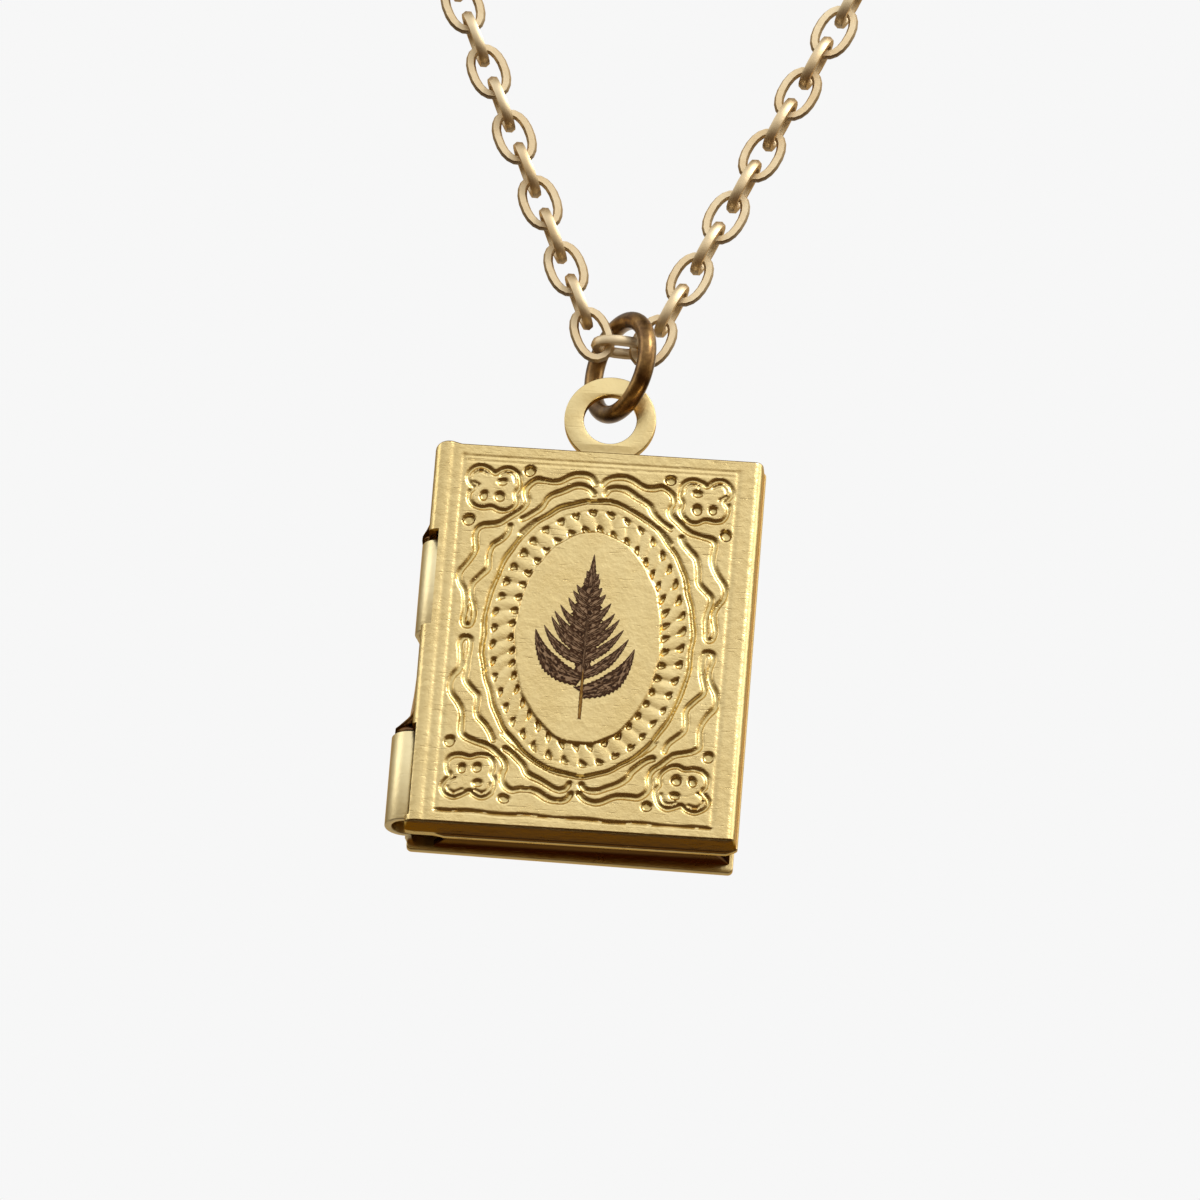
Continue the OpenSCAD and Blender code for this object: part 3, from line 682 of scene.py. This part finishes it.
def oxide(name, tones, rim_tone):
    """Laser-darkened brass: matt, with fine streaks in three tones and a darker rim."""
    made, shader = material(name, Roughness=0.7, Metallic=0.25, Specular_IOR_Level=0.25)
    tree = made.node_tree
    place = add(tree, "ShaderNodeTexCoord").outputs
    warp = add(tree, "ShaderNodeTexNoise", {"Scale": 1 / (0.3 * MM), "Detail": 3.0}, Vector=place["Object"])
    squeezed = add(tree, "ShaderNodeMapping", {"Scale": (0.5, 0.42, 1.0), "Rotation": (0.0, 0.0, 0.5)},
                   Vector=place["UV"])
    veins = add(tree, "ShaderNodeTexNoise", {"Scale": 7.5, "Detail": 2.0, "Distortion": 0.6},
                Vector=squeezed.outputs[0])
    tone = ramp(tree, veins.outputs["Fac"], (0.43, tones[0]), (0.5, tones[1]), (0.6, tones[2]))
    edge = add(tree, "ShaderNodeMath", {"operation": "ABSOLUTE"},
               Value=add(tree, "ShaderNodeSeparateXYZ", Vector=place["UV"]).outputs["X"])
    rim = add(tree, "ShaderNodeMapRange", {"From Min": 0.62, "From Max": 0.85}, Value=edge.outputs[0])
    tone = add(tree, "ShaderNodeMixRGB", {"Color2": colour(rim_tone)}, Fac=rim.outputs[0], Color1=tone)
    tree.links.new(tone.outputs[0], shader.inputs["Base Color"])
    bump = add(tree, "ShaderNodeBump", {"Distance": 0.01 * MM}, Height=warp.outputs["Fac"])
    tree.links.new(bump.outputs[0], shader.inputs["Normal"])
    return made


bpy.ops.mesh.primitive_plane_add(size=1)
fern = bpy.context.object
fern.name = "fern_print"
# The leaf is dark brown where the beam's passes overlap; the thin midrib is only toasted
fern.data.materials.append(oxide("laser darkened brass", ("#321d0c", "#5a3f28", "#a1866c"), "#432813"))
fern.data.materials.append(oxide("laser toasted brass", ("#77501f", "#936d30", "#b8954e"), "#5c3a14"))
shape.to_mesh(fern.data)
shape.free()
apply(fern, "SOLIDIFY", thickness=0.012, offset=1)
bpy.ops.object.mode_set(mode="EDIT")
bpy.ops.mesh.select_all(action="SELECT")
bpy.ops.mesh.normals_make_consistent(inside=False)
bpy.ops.object.mode_set(mode="OBJECT")
into_frame(fern)

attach(fern, "front")

# Back cover
# The same brass sheet: a flat back with a turned rim, flanges that stand in from it with open corners,
# a flat loop left at the top, and two tabs that are rolled round the hinge pin.
BACK_T, THICK = 0.45, 4.4
TAB_X, TAB_RISE, TAB_D, TAB_HOLE, TAB_NECK = 0.2, 3.4, 4.5, 2.6, 2.6


def flat_piece(name, outlines, low_y, high_y, bevel):
    """A plate between two depths, from flat outlines, with its edges eased."""
    flat = bpy.data.curves.new(name, "CURVE")
    flat.dimensions = "2D"
    flat.fill_mode = "BOTH"
    flat.extrude = (high_y - low_y) / 2 - bevel
    flat.bevel_depth, flat.bevel_resolution = bevel, 2
    flat.offset = -bevel
    for points in outlines:
        line = flat.splines.new("POLY")
        line.points.add(len(points) - 1)
        for p, (px, pz) in zip(line.points, points):
            p.co = (px, pz, 0, 1)
        line.use_cyclic_u = True
    piece = bpy.data.objects.new(name, flat)
    bpy.context.collection.objects.link(piece)
    use(piece)
    bpy.ops.object.convert(target="MESH")
    piece = bpy.context.object
    piece.data.transform(Matrix.Translation((0, (low_y + high_y) / 2, 0))
                         @ Matrix.Rotation(math.pi / 2, 4, "X"))
    apply(piece, "WELD", merge_threshold=0.0005)
    return piece


# The plate's corners, with the flat loop between the first two: (across, up, where its round starts)
CORNER_R = 0.25
plate_outline = []
for px, pz, start in ((7.88, 10, 0), (-8, 10, 90), (-8, -9.92, 180), (7.88, -10.1, 270)):
    middle = (px - math.copysign(CORNER_R, px), pz - math.copysign(CORNER_R, pz))
    plate_outline += arc(*middle, CORNER_R, start, start + 90, 5)
    if start == 0:
        neck_angle = math.degrees(math.asin(TAB_NECK / TAB_D))
        ring_z = HEIGHT / 2 + TAB_RISE
        plate_outline.append((TAB_X + TAB_NECK / 2, HEIGHT / 2))
        plate_outline += arc(TAB_X, ring_z, TAB_D / 2, -90 + neck_angle, 270 - neck_angle, 60)
        plate_outline.append((TAB_X - TAB_NECK / 2, HEIGHT / 2))
hole_outline = arc(TAB_X, ring_z, TAB_HOLE / 2, 360, 0, 48)[:-1]
plate = flat_piece("back_plate", [plate_outline, hole_outline], THICK - BACK_T, THICK, 0.06)


def flange(name, length, turn, offset):
    """A flange of the back cover, with its ends cut back, standing forward from the rim."""
    front, cut = FRONT_DEPTH + 0.1, 1.2
    base = THICK - BACK_T + 0.05
    rows = [[(length[0] + cut * (1 - k), front + (base - front) * k, offset),
             (length[1] - cut * (1 - k), front + (base - front) * k, offset)] for k in (0, 0.5, 1)]
    piece = strip(name, rows, SHEET, 0.05)
    piece.data.transform(Matrix.Rotation(turn, 4, "Y"))
    # The flange stands in the shade between the covers, so it takes painted shade in brown all over
    shade_mark = piece.data.attributes.new("relief", "FLOAT", "POINT")
    shade_mark.data.foreach_set("value", [PAINTED_SHADE] * len(piece.data.vertices))
    return piece


INSET = 0.3
in_w, in_h = WIDTH / 2 - INSET, HEIGHT / 2 - INSET
spine_end = PIN_X + BARREL_R + 0.1
flanges = [flange("top_flange", (spine_end, in_w), 0, in_h - SHEET / 2),
           flange("foot_flange", (spine_end, in_w), 0, -in_h + SHEET / 2),
           flange("fore_flange", (-in_h, in_h), math.pi / 2, in_w - SHEET / 2)]

# The tight upper knuckle, and the loose lower one whose curl stands away from the pin
CURL_STRETCH, LOWER_OUT = 1.15, 0.62
curl_y = PIN_Y - 0.15
upper_path = [(-WIDTH / 2 + 0.2, 4.1)]
upper_path += [(PIN_X + px, curl_y + py * CURL_STRETCH) for px, py in arc(0, 0, 0.79, 158, 285, 26)]
lower_path = [(-WIDTH / 2 + 0.2, 4.1), (-WIDTH / 2 + 0.1, 3.5)]
lower_path += [(PIN_X - LOWER_OUT + px, curl_y + py * CURL_STRETCH)
               for px, py in arc(0, 0, 0.84, 80, 281, 28)]
rolls = [strip("upper_knuckle", [[p + (z,) for p in upper_path] for z in KNUCKLES[1]], 0.3),
         strip("lower_knuckle", [[p + (z,) for p in lower_path] for z in KNUCKLES[3]], 0.34)]
for n in (1, 3):
    sleeve = arc(PIN_X, PIN_Y, 0.42, 100, 420, 24)
    rolls.append(strip("pin_sleeve", [[p + (z,) for p in sleeve] for z in KNUCKLES[n]], 0.22))
back_cover = join("back_cover_sheet", plate, *flanges)
knuckles = join("back_cover_knuckles", *rolls)
for piece in (back_cover, knuckles):
    into_frame(piece)
    smooth(piece, 25)
back_brass = brass("raw brass sheet", "#ead8a4", "#dfc88f", 0.28, 0.3, 0.012, patina_and_shade="#b5a660")
# The knuckles are paler, partly rubbed by handling and partly a painted highlight
rubbed_and_lit_brass = brass("rubbed raw brass, painted paler", "#fdf0c4", "#f2e2b0", 0.34, 0.3, 0.012)
for piece, metal in ((back_cover, back_brass), (knuckles, rubbed_and_lit_brass)):
    coat(piece, metal)
    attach(piece, "back")
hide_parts("back_cover")

# Hinge pin
# Plain brass wire, cut to length and pushed through the four knuckles, whose grip holds it.
# The CAD node is its shape, and only its metal is given here.
coat(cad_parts["hinge_pin"], brass("drawn brass wire", "#c7a765", "#a98a4c", 0.3, 0.1, 0.003))

# Jump ring
# Round brass wire wound on a rod and cut, so it has a join, and closed through the flat loop and the
# chain's low link. It is old and tarnished to brown.
RING_D, RING_WIRE, RING_TURN = 5.7, 0.9, math.radians(56)
ring_low, ring_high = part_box("jump_ring")
ring_middle = (ring_low + ring_high) / 2
bpy.ops.mesh.primitive_torus_add(major_radius=(RING_D - RING_WIRE) / 2 * MM, minor_radius=RING_WIRE / 2 * MM,
                                 major_segments=96, minor_segments=24)
ring = bpy.context.object
ring.name = "jump_ring_wire"
# The join is half way up the ring's right limb: a slice is taken out and both cut ends are closed
JOIN_AT, JOIN_W = math.radians(38), 0.07
bpy.ops.object.mode_set(mode="EDIT")
cut_out = Vector((-math.sin(JOIN_AT), math.cos(JOIN_AT), 0))
for shift in (-JOIN_W / 2, JOIN_W / 2):
    bpy.ops.mesh.select_all(action="SELECT")
    bpy.ops.mesh.bisect(plane_co=cut_out * shift * MM, plane_no=cut_out, use_fill=False)
shape = bmesh.from_edit_mesh(ring.data)
out_along = Vector((math.cos(JOIN_AT), math.sin(JOIN_AT), 0))
doomed = [f for f in shape.faces if f.calc_center_median().dot(out_along) > 0
          and abs(f.calc_center_median().dot(cut_out)) < JOIN_W / 2 * MM * 0.98]
bmesh.ops.delete(shape, geom=doomed, context="FACES")
bmesh.ops.holes_fill(shape, edges=[e for e in shape.edges if e.is_boundary], sides=0)
bmesh.update_edit_mesh(ring.data)
bpy.ops.object.mode_set(mode="OBJECT")
ring.data.transform(Matrix.Translation(ring_middle) @ Matrix.Rotation(-RING_TURN, 4, "Z")
                    @ Matrix.Rotation(math.pi / 2, 4, "X"))
smooth(ring, 50)

# Tarnished brass wire: brown, with orange where it is worn
tarnish, shader = material("tarnished brass wire", Metallic=1.0)
tree = tarnish.node_tree
place = add(tree, "ShaderNodeTexCoord").outputs["Object"]
patches = add(tree, "ShaderNodeTexNoise", {"Scale": 1 / (0.9 * MM), "Detail": 5.0, "Roughness": 0.65},
              Vector=place)
tone = ramp(tree, patches.outputs["Fac"], (0.35, "#6c5238"), (0.52, "#96774e"), (0.68, "#c4a067"))
tree.links.new(tone, shader.inputs["Base Color"])
gloss = add(tree, "ShaderNodeMapRange", {"To Min": 0.22, "To Max": 0.4}, Value=patches.outputs["Fac"])
tree.links.new(gloss.outputs[0], shader.inputs["Roughness"])
bump = add(tree, "ShaderNodeBump", {"Distance": 0.01 * MM}, Height=patches.outputs["Fac"])
tree.links.new(bump.outputs[0], shader.inputs["Normal"])
coat(ring, tarnish)
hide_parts("jump_ring")
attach(ring, "ring")

# Chain
# Flat cable chain: oval links of drawn wire, soldered shut and rolled flat, each through the next.
# The links stand where the CAD's do; the route is worked out the same way, from the same sizes.
# A link's length, width, wire width and thickness, the gap between links, and the links on each side;
# then the strands' slope, the low link's turn, how far up the chain hangs plumb, and the neck's round
# and lean; and the clasp's length, width and thickness, its eye, and the wall outside the eye
LINK_L, LINK_W, LINK_WIRE, LINK_T, LINK_GAP, PER_SIDE = 3.1, 2.05, 0.48, 0.45, 0.15, 104
STRAND_ANGLE, LOW_TURN, PLUMB, COLLAR_R, NECK_LEAN = 24.0, 8.0, 35.0, 40.0, 60.0
CLASP_L, CLASP_W, CLASP_T, CLASP_EYE, CLASP_WALL = 9.0, 2.8, 0.6, 1.5, 0.6


def chord(r, half):
    """Distance from a circle's middle to a chord."""
    return math.sqrt(r * r - half * half)


rad = math.radians
hole_r = LINK_W / 2 - LINK_WIRE
link_bar = (LINK_L - LINK_WIRE) / 2
pitch = LINK_L - 2 * LINK_WIRE - LINK_GAP - 2 * (hole_r - chord(hole_r, LINK_T / 2))
first_step = (LINK_L - LINK_W) / 2
eye_x = CLASP_L / 2 - CLASP_WALL - CLASP_EYE / 2
clasp_step = (eye_x + chord(CLASP_EYE / 2, LINK_T / 2 + LINK_GAP) + chord(hole_r - LINK_GAP, CLASP_T / 2)
              + first_step)
half_loop = first_step + (PER_SIDE - 1) * pitch + clasp_step
strand_x, strand_y = link_bar * math.cos(rad(LOW_TURN)), link_bar * math.sin(rad(LOW_TURN))
neck_r = ((half_loop + strand_x / math.sin(rad(STRAND_ANGLE)))
          / (1 / math.tan(rad(STRAND_ANGLE)) + rad(90 + STRAND_ANGLE)))
strand_l = neck_r / math.tan(rad(STRAND_ANGLE)) - strand_x / math.sin(rad(STRAND_ANGLE))
neck_z = (neck_r - strand_x * math.cos(rad(STRAND_ANGLE))) / math.sin(rad(STRAND_ANGLE))
loop_h = neck_z + neck_r


def lean(w):
    """Lean from plumb of the chain's surface, in radians, at a height on the flat loop."""
    return min(max((w - PLUMB) / COLLAR_R, 0), rad(NECK_LEAN))


def drape(w):
    """(back, up) of the surface at a height on the flat loop."""
    past = max(w - PLUMB - COLLAR_R * rad(NECK_LEAN), 0)
    return (COLLAR_R * (1 - math.cos(lean(w))) + past * math.sin(lean(w)),
            min(w, PLUMB) + COLLAR_R * math.sin(lean(w)) + past * math.cos(lean(w)))


low_link = Vector((0, -drape(loop_h)[0], -drape(loop_h)[1]))


def on_loop(u, w, heading, roll, side_y):
    """The matrix that takes a piece drawn along X to its place on the draped loop, in millimetres."""
    y, z = drape(w)
    return (Matrix.Translation(low_link + Vector((u, y + side_y * (1 - w / loop_h), z)))
            @ Matrix.Rotation(-lean(w), 4, "X") @ Matrix.Rotation(-rad(heading), 4, "Y")
            @ Matrix.Rotation(rad(roll), 4, "X"))


def strand_at(s):
    """(across, up, heading) on the flat loop at a length along a strand."""
    if s < strand_l:
        slope = rad(STRAND_ANGLE)
        return strand_x + s * math.sin(slope), s * math.cos(slope), 90 - STRAND_ANGLE
    turn = (s - strand_l) / neck_r - rad(STRAND_ANGLE)
    return neck_r * math.cos(turn), neck_z + neck_r * math.sin(turn), 90 + math.degrees(turn)


# One link: a ring of flat wire with its edges rolled soft
link_mesh = bmesh.new()
AROUND, SQUARENESS = 20, 0.9
section = [(-0.5, 0.0), (-0.3, -0.5), (0.3, -0.5), (0.5, 0.0), (0.3, 0.5), (-0.3, 0.5)]
rings = []
for k in range(AROUND):
    turn = 2 * math.pi * (k + 0.5) / AROUND
    # Between an oval and a straight-sided link, so that the next link still has room in the hole
    ox, oy = (math.copysign(abs(way) ** SQUARENESS, way) for way in (math.cos(turn), math.sin(turn)))
    across = Vector((ox * (LINK_W - LINK_WIRE), oy * (LINK_L - LINK_WIRE), 0)).normalized()
    middle = Vector((ox * (LINK_L - LINK_WIRE) / 2, oy * (LINK_W - LINK_WIRE) / 2, 0))
    rings.append([link_mesh.verts.new(middle + across * q * LINK_WIRE + Vector((0, 0, h * LINK_T)))
                  for q, h in section])
for one, two in zip(rings, rings[1:] + rings[:1]):
    for k in range(len(section)):
        link_mesh.faces.new((one[k], one[(k + 1) % len(section)], two[(k + 1) % len(section)], two[k]))
bmesh.ops.recalc_face_normals(link_mesh, faces=link_mesh.faces)
bpy.ops.mesh.primitive_circle_add(vertices=3)
chain = bpy.context.object
chain.name = "chain_links"
all_links = bmesh.new()
one_link = bpy.data.meshes.new("link")
link_mesh.to_mesh(one_link)
link_mesh.free()
places = [Matrix.Translation(low_link) @ Matrix.Rotation(rad(LOW_TURN), 4, "Z")]
for s in (-1, 1):
    for i in range(1, PER_SIDE + 1):
        u, w, heading = strand_at(first_step + (i - 1) * pitch)
        places.append(on_loop(s * u, w, s * heading, 90 if i % 2 == 1 else 0, s * strand_y))
for matrix in places:
    start = len(all_links.verts)
    all_links.from_mesh(one_link)
    all_links.verts.ensure_lookup_table()
    bmesh.ops.transform(all_links, matrix=Matrix.Scale(MM, 4) @ matrix, verts=all_links.verts[start:])
all_links.to_mesh(chain.data)
all_links.free()
smooth(chain, 50)
chain_brass = brass("rolled and soldered brass wire", "#f0e2c4", "#e0caa4", 0.46, 0.25, 0.006)
coat(chain, chain_brass)
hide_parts("chain")
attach(chain, "necklace")

# Clasp
# Hidden in the photo, so it is one plain plate, blanked from brass sheet with an eye at each end.
# The last link of each strand goes through its eye.
clasp_outline = arc(CLASP_L / 2 - CLASP_W / 2, 0, CLASP_W / 2, -90, 90, 20)
clasp_outline += arc(-CLASP_L / 2 + CLASP_W / 2, 0, CLASP_W / 2, 90, 270, 20)
eyes = [arc(s * eye_x, 0, CLASP_EYE / 2, 360, 0, 28)[:-1] for s in (-1, 1)]
clasp = flat_piece("clasp_plate", [clasp_outline] + eyes, -CLASP_T / 2, CLASP_T / 2, 0.12)
clasp.data.transform(Matrix.Scale(MM, 4) @ on_loop(0, loop_h, 0, 90, 0)
                     @ Matrix.Rotation(-math.pi / 2, 4, "X"))
smooth(clasp, 40)
coat(clasp, chain_brass)
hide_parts("clasp")
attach(clasp, "necklace")
